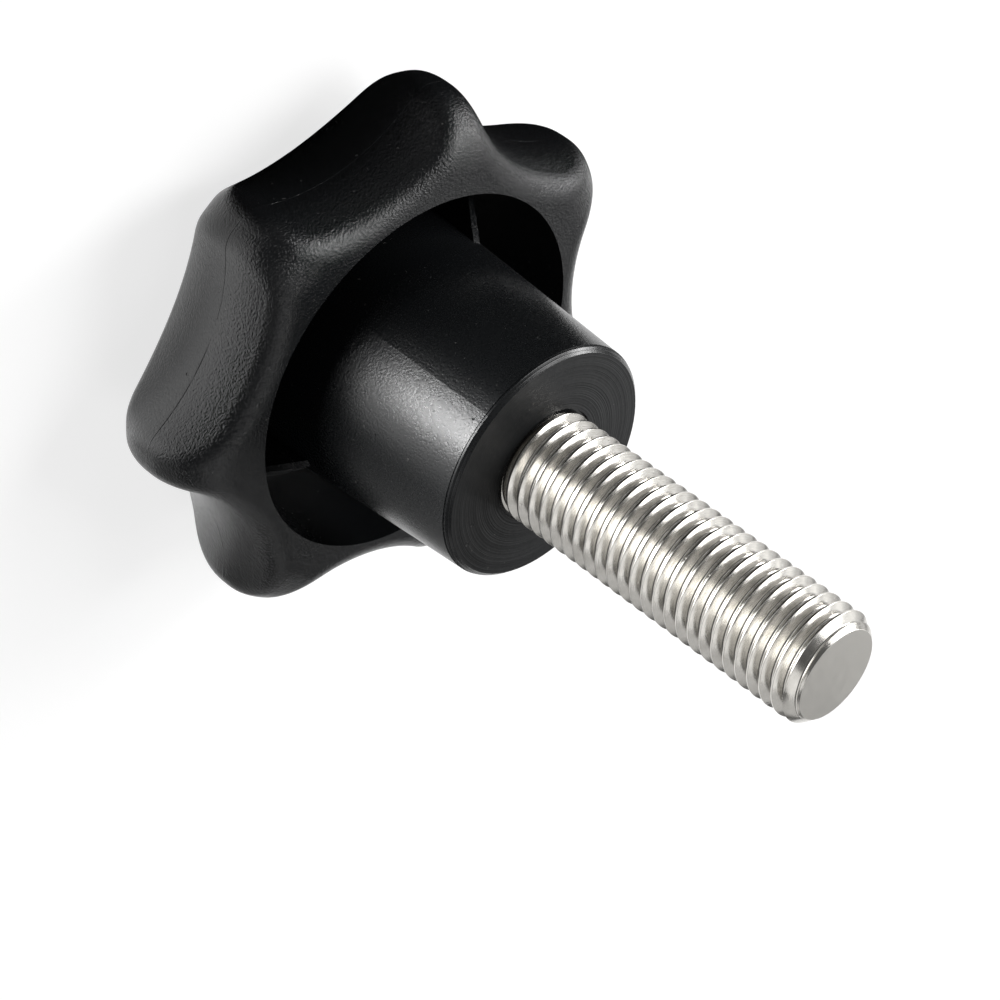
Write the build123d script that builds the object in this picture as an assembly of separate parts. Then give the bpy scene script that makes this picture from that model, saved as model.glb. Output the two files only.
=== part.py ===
"""Seven-lobed star knob with a moulded-in threaded stud, modelled in millimetres.

The knob stands on its head: origin at the centre of the flat head face, +Z along the stud towards its tip,
and one lobe on +X. Two pieces: the moulded knob (star, hub, hollow and ribs in one) and the steel stud.
"""

import os
from math import radians, sqrt, tan

from build123d import *

# Stud: an M16 rolled thread, measured over its crests, left plain here
THREAD_DIAMETER = 15.8
STUD_REACH = 50.5          # clear of the hub face
TIP_CHAMFER = 1.5
THREAD_START = 0.15        # hub face to the first full thread
SHANK_DIAMETER = 14.5      # the blank that the thread is rolled from, left bare inside the hub
ANCHOR_ACROSS_FLATS = 24.0  # the hidden hexagon head that keeps the stud from turning or pulling out
ANCHOR_LENGTH = 10.0
ANCHOR_DEPTH = 27.0        # hub face to the anchor's far end

# Star
LOBES = 7
STAR_RADIUS = 38.8         # axis to lobe tip
UNDERSIDE_HEIGHT = 22.8    # head face to the flat underside round the hollow
HEAD_FLAT_RADIUS = 15.0
HEAD_DOME_RADIUS = 100.0
HEAD_SHOULDER = 9.0        # rounding between dome and rim
RIM_SHOULDER = 8.6         # rounding between rim and underside

# Finger flutes, each cut by a spool whose waist sits just under the rim
FLUTE_FLOOR = 31.8         # axis to the flute's floor at the waist
FLUTE_RADIUS = 26.5        # across the finger
FLUTE_BULGE = 17.8         # along the finger
FLUTE_WAIST_HEIGHT = 13.5
FLUTE_EDGE = 3.75          # rounding where a flute meets the rest of the star

# Hub, standing out of the hollow
HUB_HEIGHT = 46.0          # head face to the end of the moulded taper
HUB_END_RADIUS = 17.1
HUB_TAPER = 3.56           # degrees
HUB_BAND_STEP = 0.12       # ledge between the taper and the trimmed end band
HUB_BAND_HEIGHT = 0.3
HUB_CHAMFER = 0.6
HUB_RELIEF_RADIUS = 8.25   # shallow counterbore round the stud's root
HUB_RELIEF_DEPTH = 0.4

# Hollow between hub and star, and the ribs across it
HOLLOW_RADIUS = 26.6       # at its open edge
HOLLOW_DRAFT = 2.5         # degrees
HOLLOW_FLOOR = 5.5
RIB_THICKNESS = 1.5
RIB_TOP_AT_HUB = 20.4      # height of a rib where it leaves the hub, falling outwards at 45 degrees
RIB_FLUTES = (1, 3, 5)     # the flutes that have a rib behind them

LOBE_PITCH = 360 / LOBES
HUB_FACE_HEIGHT = HUB_HEIGHT + HUB_BAND_HEIGHT + HUB_CHAMFER


def hub_radius(height):
    """Radius of the tapered hub at a height above the head face."""
    return HUB_END_RADIUS + (HUB_HEIGHT - height) * tan(radians(HUB_TAPER))


def star_blank():
    """The star before its flutes are cut: a lens-shaped disc turned about Z."""
    dome_centre = sqrt(HEAD_DOME_RADIUS**2 - HEAD_FLAT_RADIUS**2)
    dome_edge = dome_centre - sqrt(HEAD_DOME_RADIUS**2 - STAR_RADIUS**2)
    middle = (HEAD_FLAT_RADIUS + STAR_RADIUS) / 2
    dome_middle = dome_centre - sqrt(HEAD_DOME_RADIUS**2 - middle**2)
    with BuildPart() as blank:
        with BuildSketch(Plane.XZ) as profile:
            with BuildLine():
                Line((0, 0), (HEAD_FLAT_RADIUS, 0))
                ThreePointArc((HEAD_FLAT_RADIUS, 0), (middle, dome_middle), (STAR_RADIUS, dome_edge))
                Polyline((STAR_RADIUS, dome_edge), (STAR_RADIUS, UNDERSIDE_HEIGHT), (0, UNDERSIDE_HEIGHT), (0, 0))
            make_face()
            rim = profile.vertices().group_by(Axis.X)[-1]
            fillet(rim.sort_by(Axis.Y)[0], HEAD_SHOULDER)
            rim = profile.vertices().filter_by_position(Axis.Y, UNDERSIDE_HEIGHT - 0.1, UNDERSIDE_HEIGHT + 0.1)
            fillet(rim.sort_by(Axis.X)[-1], RIM_SHOULDER)
        revolve(axis=Axis.Z)
    return blank.part


def flute_spool():
    """Cutter for one finger flute: a waisted spool beside the star, lofted through five circles."""
    with BuildPart() as spool:
        for section in range(5):
            height = (UNDERSIDE_HEIGHT + 2) * section / 4 - 1
            from_waist = height - FLUTE_WAIST_HEIGHT
            with BuildSketch(Plane.XY.offset(height)):
                Circle(FLUTE_RADIUS + FLUTE_BULGE - sqrt(FLUTE_BULGE**2 - from_waist**2))
        loft()
    return Pos(FLUTE_FLOOR + FLUTE_RADIUS, 0, 0) * spool.part


def fluted_star():
    """The star with its seven finger flutes cut and their edges rounded."""
    star = star_blank()
    spool = flute_spool()
    for lobe in range(LOBES):
        star -= Rot(0, 0, (lobe + 0.5) * LOBE_PITCH) * spool
    flute_walls = star.faces().filter_by(GeomType.BSPLINE)
    return fillet([edge for wall in flute_walls for edge in wall.edges()], FLUTE_EDGE)


def hollow():
    """The ring-shaped hollow round the hub, drawn in towards its floor."""
    floor_radius = HOLLOW_RADIUS - (UNDERSIDE_HEIGHT - HOLLOW_FLOOR) * tan(radians(HOLLOW_DRAFT))
    with BuildPart() as ring:
        with BuildSketch(Plane.XZ):
            Polygon(
                (hub_radius(HOLLOW_FLOOR), HOLLOW_FLOOR),
                (floor_radius, HOLLOW_FLOOR),
                (HOLLOW_RADIUS, UNDERSIDE_HEIGHT),
                (hub_radius(UNDERSIDE_HEIGHT), UNDERSIDE_HEIGHT),
                align=None,
            )
        revolve(axis=Axis.Z)
    return ring.part


def hub_end():
    """The part of the hub that stands above the star: taper, trimmed end band, chamfer and relief."""
    band_radius = HUB_END_RADIUS - HUB_BAND_STEP
    relief_floor = HUB_FACE_HEIGHT - HUB_RELIEF_DEPTH
    with BuildPart() as end:
        with BuildSketch(Plane.XZ):
            Polygon(
                (0, UNDERSIDE_HEIGHT - 1),
                (hub_radius(UNDERSIDE_HEIGHT - 1), UNDERSIDE_HEIGHT - 1),
                (HUB_END_RADIUS, HUB_HEIGHT),
                (band_radius, HUB_HEIGHT),
                (band_radius, HUB_HEIGHT + HUB_BAND_HEIGHT),
                (band_radius - HUB_CHAMFER, HUB_FACE_HEIGHT),
                (HUB_RELIEF_RADIUS, HUB_FACE_HEIGHT),
                (HUB_RELIEF_RADIUS, relief_floor),
                (0, relief_floor),
                align=None,
            )
        revolve(axis=Axis.Z)
    return end.part


def ribs():
    """Three upright ribs across the hollow, each behind a flute, sloping down from the hub."""
    inner = hub_radius(RIB_TOP_AT_HUB) - 2
    outer = HOLLOW_RADIUS + 1
    fall = RIB_TOP_AT_HUB + hub_radius(RIB_TOP_AT_HUB)
    with BuildPart() as rib:
        with BuildSketch(Plane.XZ):
            Polygon(
                (inner, HOLLOW_FLOOR - 1),
                (outer, HOLLOW_FLOOR - 1),
                (outer, fall - outer),
                (inner, fall - inner),
                align=None,
            )
        extrude(amount=RIB_THICKNESS / 2, both=True)
    return [Rot(0, 0, (flute + 0.5) * LOBE_PITCH) * rib.part for flute in RIB_FLUTES]


def stud():
    """The steel stud: a chamfered free end, a bare shank in the hub and the hexagon anchor below it."""
    radius = THREAD_DIAMETER / 2
    shank_radius = SHANK_DIAMETER / 2
    tip = HUB_FACE_HEIGHT + STUD_REACH
    thread_start = HUB_FACE_HEIGHT + THREAD_START
    anchor_end = HUB_FACE_HEIGHT - ANCHOR_DEPTH
    with BuildPart() as steel:
        with BuildSketch(Plane.XY.offset(anchor_end)):
            RegularPolygon(ANCHOR_ACROSS_FLATS / 2, 6, major_radius=False)
        extrude(amount=ANCHOR_LENGTH)
        with BuildSketch(Plane.XZ):
            Polygon(
                (0, anchor_end + 1),
                (shank_radius, anchor_end + 1),
                (shank_radius, thread_start - radius + shank_radius),
                (radius, thread_start),
                (radius, tip - TIP_CHAMFER),
                (radius - TIP_CHAMFER, tip),
                (0, tip),
                align=None,
            )
        revolve(axis=Axis.Z)
    return steel.part


def knob(steel):
    """The whole moulding: star, hub, hollow and ribs, closed round the steel stud."""
    body = fluted_star() - hollow() + hub_end() + ribs()
    return body - steel


os.makedirs("parts", exist_ok=True)
steel_stud = stud()
export_step(steel_stud, "parts/stud.step")
export_step(knob(steel_stud), "parts/knob.step")
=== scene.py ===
from math import cos, pi, radians, sin, sqrt, tan

import bmesh
import bpy
from mathutils import Matrix, Vector


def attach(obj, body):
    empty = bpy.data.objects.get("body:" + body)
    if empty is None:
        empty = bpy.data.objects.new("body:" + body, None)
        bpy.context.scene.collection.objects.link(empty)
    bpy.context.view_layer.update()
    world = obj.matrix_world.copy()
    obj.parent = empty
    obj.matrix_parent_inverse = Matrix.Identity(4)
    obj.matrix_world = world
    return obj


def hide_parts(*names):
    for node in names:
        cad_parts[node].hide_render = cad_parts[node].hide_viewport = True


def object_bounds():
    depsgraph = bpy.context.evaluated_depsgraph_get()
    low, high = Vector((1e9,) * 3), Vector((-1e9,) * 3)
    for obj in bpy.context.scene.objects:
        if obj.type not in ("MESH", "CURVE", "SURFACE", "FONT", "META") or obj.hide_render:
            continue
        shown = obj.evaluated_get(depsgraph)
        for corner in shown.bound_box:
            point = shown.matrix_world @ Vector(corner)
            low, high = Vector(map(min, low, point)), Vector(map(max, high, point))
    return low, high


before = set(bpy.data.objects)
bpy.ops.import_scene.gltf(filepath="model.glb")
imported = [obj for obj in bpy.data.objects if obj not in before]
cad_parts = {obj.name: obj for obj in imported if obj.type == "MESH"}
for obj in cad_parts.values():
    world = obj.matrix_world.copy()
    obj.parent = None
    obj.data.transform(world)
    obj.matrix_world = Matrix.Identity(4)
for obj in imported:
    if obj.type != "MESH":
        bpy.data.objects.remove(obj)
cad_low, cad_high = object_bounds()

# ---------------------------------------------------------------------------------------------
# The knob: star, hub and ribs moulded in one shot of black glass-filled polyamide. Its moulded
# form comes from model.glb. The finish is spark-eroded grain on the grip, a finer skin on the
# hub, turning rings on the trimmed hub face and a faint seam where the two mould halves met.

HUB_ROOT_RADIUS = 0.0201
HUB_FOOT = 0.0045
TRIM_HEIGHT = 0.04604  # the hub is turned from here up to its face
HUB_FACE = 0.0469
FACE_SKIN = 0.00004  # how far below a cut face its finish reaches
SEAM_HEIGHT = 0.0140
SEAM_HALF_WIDTH = 0.00009
SEAM_INNER_RADIUS = 0.029
GRAIN_HEIGHT = 0.00013
POLYAMIDE = (0.0068, 0.0076, 0.0084, 1)
POLYAMIDE_DUST = (0.090, 0.088, 0.085, 1)
GRIP_ROUGHNESS = 0.22
HUB_ROUGHNESS = 0.27
FACE_ROUGHER = 0.12  # the turned face over the rest of the hub


def node(tree, kind, inputs=None, **settings):
    """Adds a shader node, sets its properties, and fills or links its inputs."""
    made = tree.nodes.new("ShaderNode" + kind)
    for name, value in settings.items():
        setattr(made, name, value)
    for name, value in (inputs or {}).items():
        if isinstance(value, bpy.types.NodeSocket):
            tree.links.new(value, made.inputs[name])
        else:
            made.inputs[name].default_value = value
    return made


def math(tree, operation, first, second=0.0, third=0.0):
    """A Math node's result."""
    return node(tree, "Math", {0: first, 1: second, 2: third}, operation=operation).outputs[0]


def ramp(tree, value, start, end, low=0.0, high=1.0):
    """value carried from start..end to low..high, held at both ends."""
    fade = {"Value": value, "From Min": start, "From Max": end, "To Min": low, "To Max": high}
    return node(tree, "MapRange", fade).outputs[0]


def noise(tree, place, scale, detail=2.0, roughness=0.5):
    """Noise from 0 to 1 at a place."""
    grain = {"Vector": place, "Scale": scale, "Detail": detail, "Roughness": roughness}
    return node(tree, "TexNoise", grain).outputs[0]


def radius_and_height(tree, place):
    """A place's distance from the Z axis and its height."""
    flat = node(tree, "VectorMath", {0: place, 1: (1, 1, 0)}, operation="MULTIPLY").outputs[0]
    radius = node(tree, "VectorMath", {0: flat}, operation="LENGTH").outputs["Value"]
    return radius, node(tree, "SeparateXYZ", {"Vector": place}).outputs["Z"]


def mix_colours(tree, share, first, second):
    """The first colour with a share of the second over it."""
    return node(tree, "Mix", {0: share, "A": first, "B": second}, data_type="RGBA").outputs[2]


def finish_group(name, values):
    """An empty node group that takes a place and some values, and puts out a height."""
    group = bpy.data.node_groups.new(name, "ShaderNodeTree")
    group.interface.new_socket("Place", in_out="INPUT", socket_type="NodeSocketVector")
    for value, default in values.items():
        socket = group.interface.new_socket(value, in_out="INPUT", socket_type="NodeSocketFloat")
        socket.default_value = default
    group.interface.new_socket("Height", in_out="OUTPUT", socket_type="NodeSocketFloat")
    return group, group.nodes.new("NodeGroupInput").outputs, group.nodes.new("NodeGroupOutput").inputs


def dents_group():
    """Small knocks: scattered shallow pits of uneven size, of which only some cells hold one."""
    group, given, result = finish_group("small_knocks", {"Cells": 300.0, "Size": 0.12, "Share": 0.4})
    cells = node(group, "TexVoronoi", {"Vector": given["Place"], "Scale": given["Cells"]})
    luck = node(group, "SeparateColor", {"Color": cells.outputs["Color"]}).outputs
    held = math(group, "LESS_THAN", luck["Red"], given["Share"])
    reach = math(group, "MULTIPLY", given["Size"], math(group, "MULTIPLY_ADD", luck["Green"], 0.8, 0.2))
    inside = math(group, "SUBTRACT", 1.0, math(group, "DIVIDE", cells.outputs["Distance"], reach))
    pit = math(group, "MULTIPLY", math(group, "MAXIMUM", inside, 0.0), held)
    group.links.new(math(group, "MULTIPLY", pit, -1.0), result["Height"])
    return group


def rings_group():
    """Turning marks: fine rings about Z, uneven in radius and height, that break up round the turn."""
    group, given, result = finish_group("turning_rings", {"Pitch": 0.0001, "Break": 0.5})
    radius, above = radius_and_height(group, given["Place"])
    line = node(group, "CombineXYZ", {"X": radius, "Y": above}).outputs[0]
    fine = noise(group, line, math(group, "DIVIDE", 1.0, given["Pitch"]), 1.0)
    broad = noise(group, line, math(group, "DIVIDE", 0.2, given["Pitch"]), 1.0)
    patch = noise(group, given["Place"], 350.0, 2.0)
    worn = math(group, "MULTIPLY_ADD", math(group, "SUBTRACT", patch, 0.5), given["Break"], 1.0)
    both = math(group, "MULTIPLY_ADD", broad, 1.5, fine)
    group.links.new(math(group, "MULTIPLY", both, worn), result["Height"])
    return group


def finish_height(tree, group, place, **values):
    """The height that a finish group gives at a place for its values."""
    return node(tree, "Group", {"Place": place, **values}, node_tree=group).outputs["Height"]


def new_material(name):
    """A material with nodes, its tree and its Principled shader."""
    material = bpy.data.materials.new(name)
    material.use_nodes = True
    return material, material.node_tree, material.node_tree.nodes["Principled BSDF"]


def dress(piece, material):
    """Gives a piece one material in place of all that it has."""
    piece.data.materials.clear()
    piece.data.materials.append(material)


small_knocks = dents_group()
turning_rings = rings_group()

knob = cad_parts["knob"]
polyamide, tree, skin = new_material("black_glass_filled_polyamide")
place = node(tree, "TexCoord").outputs["Object"]
radius, above = radius_and_height(tree, place)

within_hub = math(tree, "LESS_THAN", radius, HUB_ROOT_RADIUS)
in_hub = math(tree, "MULTIPLY", within_hub, math(tree, "GREATER_THAN", above, HUB_FOOT))
trimmed = math(tree, "GREATER_THAN", above, TRIM_HEIGHT)
on_face = math(tree, "GREATER_THAN", above, HUB_FACE - FACE_SKIN)

coarse_grain = noise(tree, place, 3100.0, 2.0, 0.6)
fine_grain = noise(tree, place, 6000.0, 1.0)
slow_flow = noise(tree, place, 60.0, 3.0)
grain_depth = ramp(tree, in_hub, 0.0, 1.0, 1.0, 0.30)
grain_depth = math(tree, "MULTIPLY", grain_depth, math(tree, "SUBTRACT", 1.0, trimmed))
grain = math(tree, "MULTIPLY", math(tree, "MULTIPLY_ADD", fine_grain, 0.35, coarse_grain), grain_depth)

knocks = finish_height(tree, small_knocks, place, Cells=420.0, Size=0.14, Share=0.45)
rings = finish_height(tree, turning_rings, place, Pitch=0.00022, Break=0.9)

off_seam = math(tree, "ABSOLUTE", math(tree, "SUBTRACT", above, SEAM_HEIGHT))
on_rim = math(tree, "GREATER_THAN", radius, SEAM_INNER_RADIUS)
seam = math(tree, "MULTIPLY", ramp(tree, off_seam, 0.0, SEAM_HALF_WIDTH, 1.0, 0.0), on_rim)
seam = math(tree, "MULTIPLY", seam, ramp(tree, noise(tree, place, 140.0, 2.0), 0.35, 0.6))

height = math(tree, "ADD", knocks, grain)
height = math(tree, "MULTIPLY_ADD", math(tree, "MULTIPLY", rings, trimmed), 0.30, height)
height = math(tree, "MULTIPLY_ADD", seam, 0.5, height)
bump = node(tree, "Bump", {"Height": height, "Distance": GRAIN_HEIGHT, "Strength": 1.0})
tree.links.new(bump.outputs[0], skin.inputs["Normal"])

dust = math(tree, "GREATER_THAN", noise(tree, place, 1500.0, 1.0), 0.785)
colour = mix_colours(tree, math(tree, "MULTIPLY", dust, 0.8), POLYAMIDE, POLYAMIDE_DUST)
tree.links.new(colour, skin.inputs["Base Color"])

gloss = ramp(tree, in_hub, 0.0, 1.0, GRIP_ROUGHNESS, HUB_ROUGHNESS)
gloss = math(tree, "MULTIPLY_ADD", on_face, FACE_ROUGHER, gloss)
gloss = math(tree, "ADD", gloss, ramp(tree, slow_flow, 0.3, 0.7, -0.035, 0.035))
gloss = math(tree, "ADD", gloss, ramp(tree, coarse_grain, 0.3, 0.7, -0.03, 0.03))
tree.links.new(gloss, skin.inputs["Roughness"])
skin.inputs["Specular IOR Level"].default_value = 0.55
dress(knob, polyamide)

# ---------------------------------------------------------------------------------------------
# The stud: stainless bar with an M16 x 2 thread rolled on it, cut and chamfered at the free end.
# Its other end, a bare shank and a hexagon anchor, was laid in the mould and is hidden in the hub.

PITCH = 0.002
FLANK_ANGLE = 30  # degrees
CREST_RADIUS = 0.0079
ROOT_RADIUS = 0.00667
ROOT_ROUNDING = 0.00029
CREST_ROUNDING = 0.00006
ROOT_STEPS = 4
CREST_STEPS = 3
CREST_AT_X = 0.04374  # height of a crest above the +X axis
THREAD_TURNS = 29
TURN_STEPS = 96
MERGE_DISTANCE = 0.000004
THREAD_FOOT = HUB_FACE - 0.00045
TIP = cad_high.z
TIP_CHAMFER = 0.0015
BAR_ALLOWANCE = 0.0003  # between the crests and the bar that trims them
BAR_LENGTH = 0.06
SHANK_RADIUS = 0.00725
ANCHOR_FOOT = HUB_FACE - 0.027
ANCHOR_LENGTH = 0.010
ANCHOR_ACROSS_FLATS = 0.024
ANCHOR_EDGE = 0.0003
SHANK_BURIED = 0.002  # how deep the shank starts in the anchor
SHANK_LAP = 0.0003  # how far it reaches up into the thread
CREASE_ANGLE = 24  # degrees
STEEL_RELIEF = 0.000020
STEEL = (0.72, 0.70, 0.66, 1)
STEEL_SHADE = (0.60, 0.58, 0.54, 1)
STEEL_FACED = (0.82, 0.80, 0.755, 1)
STEEL_SMOOTH = 0.17
STEEL_ROUGH = 0.26
SAWN_ROUGHER = 0.22  # the cut end over the rolled thread


def deselect_all():
    """Leaves edit mode and deselects every object."""
    if bpy.context.mode != "OBJECT":
        bpy.ops.object.mode_set(mode="OBJECT")
    bpy.ops.object.select_all(action="DESELECT")


def pick(piece):
    """Selects one piece alone and makes it active."""
    deselect_all()
    bpy.context.view_layer.objects.active = piece
    piece.select_set(True)


def apply_modifiers(piece):
    """Applies every modifier of a piece, in order."""
    pick(piece)
    for modifier in list(piece.modifiers):
        bpy.ops.object.modifier_apply(modifier=modifier.name)


def settle(piece):
    """Puts a piece's place into its mesh, so that its object sits at the origin."""
    pick(piece)
    bpy.ops.object.transform_apply(location=True, rotation=True, scale=True)


def thread_outline():
    """Half of one pitch, from mid root to mid crest, as (radius, height) points."""
    slope = tan(radians(FLANK_ANGLE))
    sweep = 90 - FLANK_ANGLE
    points = []
    for step in range(ROOT_STEPS + 1):
        turn = radians(sweep * step / ROOT_STEPS)
        points.append((ROOT_RADIUS + ROOT_ROUNDING * (1 - cos(turn)), ROOT_ROUNDING * sin(turn)))
    flank_foot = points[-1]
    corner = (CREST_RADIUS, flank_foot[1] + (CREST_RADIUS - flank_foot[0]) * slope)
    middle = (CREST_RADIUS - CREST_ROUNDING, corner[1] + CREST_ROUNDING * slope)
    for step in range(CREST_STEPS + 1):
        turn = radians(sweep - sweep * step / CREST_STEPS)
        points.append((middle[0] + CREST_ROUNDING * cos(turn), middle[1] - CREST_ROUNDING * sin(turn)))
    points.append((CREST_RADIUS, PITCH / 2))
    return points


def thread_turns():
    """The outline swept up a right-hand helix, cut flat at its foot and just past the tip."""
    rise = thread_outline()
    fall = [(radius, PITCH - height) for radius, height in reversed(rise[:-1])]
    outline = rise + fall
    foot = CREST_AT_X - PITCH / 2
    deselect_all()
    bpy.ops.mesh.primitive_plane_add(size=0.001, location=(0, 0, 0))
    thread = bpy.context.object
    bpy.ops.object.mode_set(mode="EDIT")
    bpy.ops.mesh.merge(type="CENTER")
    bpy.ops.transform.translate(value=(outline[0][0], 0, foot + outline[0][1]))
    for (r0, z0), (r1, z1) in zip(outline, outline[1:]):
        bpy.ops.mesh.extrude_region_move(TRANSFORM_OT_translate={"value": (r1 - r0, 0, z1 - z0)})
    bpy.ops.object.mode_set(mode="OBJECT")
    screw = thread.modifiers.new("helix", "SCREW")
    screw.axis = "Z"
    screw.screw_offset = PITCH
    screw.iterations = THREAD_TURNS
    screw.steps = screw.render_steps = TURN_STEPS
    screw.use_merge_vertices = False
    apply_modifiers(thread)
    bpy.ops.object.mode_set(mode="EDIT")
    bpy.ops.mesh.select_all(action="SELECT")
    bpy.ops.mesh.remove_doubles(threshold=MERGE_DISTANCE)
    bpy.ops.mesh.normals_make_consistent(inside=False)
    for height, outer in ((THREAD_FOOT, False), (TIP + PITCH / 4, True)):
        bpy.ops.mesh.select_all(action="SELECT")
        bpy.ops.mesh.bisect(
            plane_co=(0, 0, height),
            plane_no=(0, 0, 1),
            use_fill=True,
            clear_inner=not outer,
            clear_outer=outer,
            threshold=0.0000001,
        )
    bpy.ops.mesh.select_all(action="SELECT")
    bpy.ops.mesh.normals_make_consistent(inside=False)
    bpy.ops.object.mode_set(mode="OBJECT")
    return thread


def turned_blank():
    """The chamfered bar that the thread can't reach out of."""
    deselect_all()
    bpy.ops.mesh.primitive_cylinder_add(
        vertices=128,
        radius=CREST_RADIUS + BAR_ALLOWANCE,
        depth=BAR_LENGTH,
        location=(0, 0, TIP - BAR_LENGTH / 2),
    )
    blank = bpy.context.object
    bpy.ops.object.mode_set(mode="EDIT")
    bpy.ops.mesh.select_all(action="DESELECT")
    bm = bmesh.from_edit_mesh(blank.data)
    for face in bm.faces:
        if face.normal.z > 0.9:
            face.select_set(True)
    bmesh.update_edit_mesh(blank.data)
    bpy.ops.mesh.bevel(
        offset=TIP_CHAMFER + BAR_ALLOWANCE, offset_type="OFFSET", segments=1, affect="EDGES"
    )
    bpy.ops.object.mode_set(mode="OBJECT")
    settle(blank)
    return blank


def hidden_end():
    """The bare shank and the hexagon anchor, two closed forms that lap."""
    deselect_all()
    bpy.ops.mesh.primitive_cylinder_add(
        vertices=6,
        radius=ANCHOR_ACROSS_FLATS / sqrt(3),
        depth=ANCHOR_LENGTH,
        location=(0, 0, ANCHOR_FOOT + ANCHOR_LENGTH / 2),
        rotation=(0, 0, radians(30)),
    )
    anchor = bpy.context.object
    bpy.ops.object.mode_set(mode="EDIT")
    bpy.ops.mesh.select_all(action="SELECT")
    bpy.ops.mesh.bevel(offset=ANCHOR_EDGE, segments=2, affect="EDGES")
    bpy.ops.object.mode_set(mode="OBJECT")
    settle(anchor)
    top = THREAD_FOOT + SHANK_LAP
    foot = ANCHOR_FOOT + SHANK_BURIED
    bpy.ops.mesh.primitive_cylinder_add(
        vertices=96, radius=SHANK_RADIUS, depth=top - foot, location=(0, 0, (top + foot) / 2)
    )
    shank = bpy.context.object
    settle(shank)
    return anchor, shank


stud = thread_turns()
blank = turned_blank()
anchor, shank = hidden_end()
for tool, operation in ((blank, "INTERSECT"), (shank, "UNION"), (anchor, "UNION")):
    cut = stud.modifiers.new(operation, "BOOLEAN")
    cut.operation = operation
    cut.solver = "EXACT"
    cut.object = tool
apply_modifiers(stud)
for tool in (blank, shank, anchor):
    bpy.data.objects.remove(tool)
stud.name = "threaded_stud"
pick(stud)
bpy.ops.object.shade_smooth_by_angle(angle=radians(CREASE_ANGLE))

stainless, tree, skin = new_material("rolled_stainless_steel")
place = node(tree, "TexCoord").outputs["Object"]
radius, above = radius_and_height(tree, place)
sawn = math(tree, "GREATER_THAN", above, TIP - FACE_SKIN)

rings = finish_height(tree, turning_rings, place, Pitch=0.00009, Break=0.8)
knocks = finish_height(tree, small_knocks, place, Cells=900.0, Size=0.25, Share=0.30)
waves = noise(tree, place, 420.0, 3.0)
height = math(tree, "MULTIPLY_ADD", rings, 0.30, math(tree, "MULTIPLY", waves, 0.7))
height = math(tree, "MULTIPLY_ADD", knocks, 0.9, height)
height = math(tree, "MULTIPLY", height, ramp(tree, sawn, 0.0, 1.0, 1.0, 0.35))
bump = node(tree, "Bump", {"Height": height, "Distance": STEEL_RELIEF, "Strength": 1.0})
tree.links.new(bump.outputs[0], skin.inputs["Normal"])

colour = mix_colours(tree, ramp(tree, waves, 0.4, 0.75), STEEL, STEEL_SHADE)
colour = mix_colours(tree, sawn, colour, STEEL_FACED)
tree.links.new(colour, skin.inputs["Base Color"])

gloss = ramp(tree, noise(tree, place, 900.0, 3.0), 0.3, 0.7, STEEL_SMOOTH, STEEL_ROUGH)
gloss = math(tree, "MULTIPLY_ADD", sawn, SAWN_ROUGHER, gloss)
tree.links.new(gloss, skin.inputs["Roughness"])
skin.inputs["Metallic"].default_value = 1.0
dress(stud, stainless)
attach(stud, "root")
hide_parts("stud")

# ---------------------------------------------------------------------------------------------
# The studio: a plain white floor under the head, soft boxes at the side, behind and overhead, two
# matt cards and three low panels beside the knob that show in its gloss, and a camera that looks
# down the stud.

FLOOR_RADIUS = 8.0
FLOOR_DROP = 0.0002  # under the head face, so that the two don't share a plane
PAPER = (0.4, 0.4, 0.4, 1)
PAPER_GLOW = 0.75
CARD_HEIGHT = 0.002
KNOB_MIDDLE = Vector((0, 0, 0.04))
STAR_AIM = (0, 0, 0.03)
HUB_AIM = (0, 0, 0.05)


def matt_surface(shader, colour, roughness):
    """Sets a Principled shader to a colour with no gloss."""
    shader.inputs["Base Color"].default_value = colour
    shader.inputs["Roughness"].default_value = roughness
    shader.inputs["Specular IOR Level"].default_value = 0.0


deselect_all()
bpy.ops.mesh.primitive_circle_add(
    vertices=96, radius=FLOOR_RADIUS, fill_type="NGON", location=(0, 0, -FLOOR_DROP)
)
floor = bpy.context.object
floor.name = "floor"
settle(floor)
paper, tree, skin = new_material("white_paper")
matt_surface(skin, PAPER, 0.9)
ray = node(tree, "LightPath").outputs
mirrored = math(tree, "MAXIMUM", ray["Is Glossy Ray"], ray["Is Transmission Ray"])
seen = math(tree, "MAXIMUM", ray["Is Camera Ray"], mirrored)
strength = math(tree, "MULTIPLY", seen, PAPER_GLOW)
glow = node(tree, "Emission", {"Color": (1, 1, 1, 1), "Strength": strength})
both = node(tree, "AddShader", {0: skin.outputs[0], 1: glow.outputs[0]})
tree.links.new(both.outputs[0], tree.nodes["Material Output"].inputs["Surface"])
dress(floor, paper)


def studio_card(name, x, y, width, length, tone):
    """A matt card lying beside the knob, seen only in its reflections."""
    deselect_all()
    bpy.ops.mesh.primitive_plane_add(size=1, location=(x, y, CARD_HEIGHT))
    card = bpy.context.object
    card.name = name
    card.scale = (width, length, 1)
    settle(card)
    board, _, shader = new_material(name)
    matt_surface(shader, (tone, tone, tone, 1), 1.0)
    dress(card, board)
    card.visible_camera = False
    card.visible_diffuse = False
    card.visible_shadow = False


studio_card("black_card", 0.105, -0.185, 0.30, 0.36, 0.01)
studio_card("grey_card", -0.060, 0.085, 0.20, 0.07, 0.4)


def aimed(where, aim, roll):
    """A matrix that places a lamp or camera, points it and rolls it by degrees."""
    facing = (Vector(aim) - Vector(where)).to_track_quat("-Z", "Y").to_matrix().to_4x4()
    return Matrix.Translation(where) @ facing @ Matrix.Rotation(radians(roll), 4, "Z")


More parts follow.
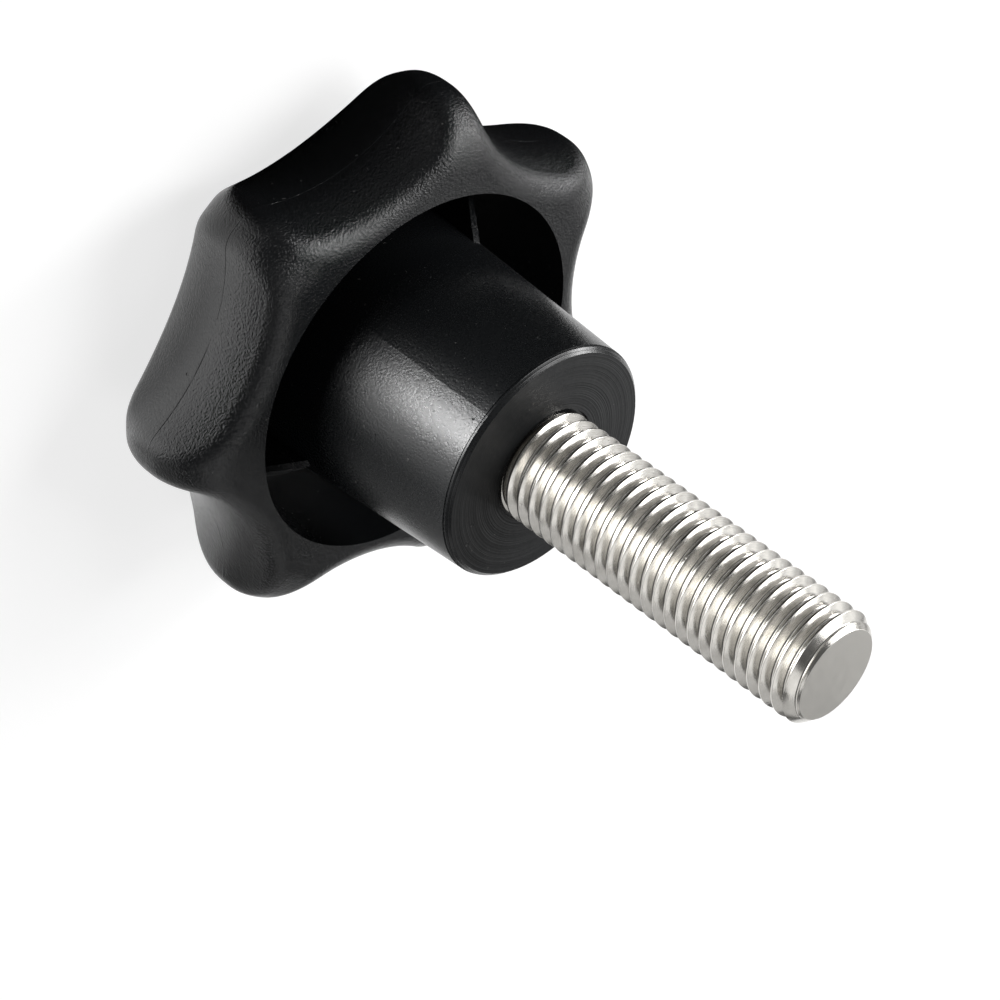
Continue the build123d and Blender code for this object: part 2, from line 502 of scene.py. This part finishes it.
def soft_box(name, where, aim, width, length, glow, roll=0.0):
    """A rectangular lamp at a place, facing a point, of even brightness glow."""
    lamp = bpy.data.lights.new(name, "AREA")
    lamp.shape = "RECTANGLE"
    lamp.size = width
    lamp.size_y = length
    lamp.energy = glow * pi * width * length
    box = bpy.data.objects.new(name, lamp)
    bpy.context.scene.collection.objects.link(box)
    box.matrix_world = aimed(where, aim, roll)
    box.visible_camera = False


def off_axis(azimuth, elevation, distance):
    """A place at an azimuth, elevation and distance from the middle of the knob."""
    turn = radians(azimuth)
    rise = radians(elevation)
    return KNOB_MIDDLE + distance * Vector((cos(turn) * cos(rise), sin(turn) * cos(rise), sin(rise)))


soft_box("side_box", off_axis(-96, 50, 0.9), STAR_AIM, 0.50, 0.44, 5.4)
soft_box("low_side_box", off_axis(-109, 22, 0.9), STAR_AIM, 0.25, 0.25, 16.0)
soft_box("side_fill", off_axis(-128, 46, 1.0), STAR_AIM, 0.95, 0.85, 0.65)
soft_box("back_box", off_axis(-155, 29, 0.42), HUB_AIM, 0.30, 0.26, 0.60)
soft_box("left_fill", off_axis(138, 32, 1.1), STAR_AIM, 0.70, 0.60, 0.5)
soft_box("top_box", off_axis(100, 62, 1.2), STAR_AIM, 0.80, 0.60, 1.0)
soft_box("hub_panel", (0.087, 0.029, 0.009), (0.287, 0.094, 1.009), 0.034, 0.056, 37.0)
soft_box("rim_panel", (0.052, 0.045, 0.003), (0.052, 0.045, 1), 0.03, 0.06, 1.0, 41)
soft_box("stud_panel", (0.200, 0.110, 0.003), (0.200, 0.110, 1), 0.14, 0.20, 4.2, 29)

world = bpy.data.worlds.new("studio")
world.use_nodes = True
bpy.context.scene.world = world
world.node_tree.nodes["Background"].inputs["Color"].default_value = (1, 1, 1, 1)
world.node_tree.nodes["Background"].inputs["Strength"].default_value = 0.10

camera_data = bpy.data.cameras.new("camera")
camera_data.lens = 116.5
camera_data.sensor_width = 36.0
camera = bpy.data.objects.new("camera", camera_data)
bpy.context.scene.collection.objects.link(camera)
camera.matrix_world = aimed((0.3549, 0.0163, 0.2624), (0.0, 0.0071, 0.0447), 126.44)
camera_data.clip_start = 0.01
bpy.context.scene.camera = camera
bpy.context.scene.view_settings.view_transform = "Standard"
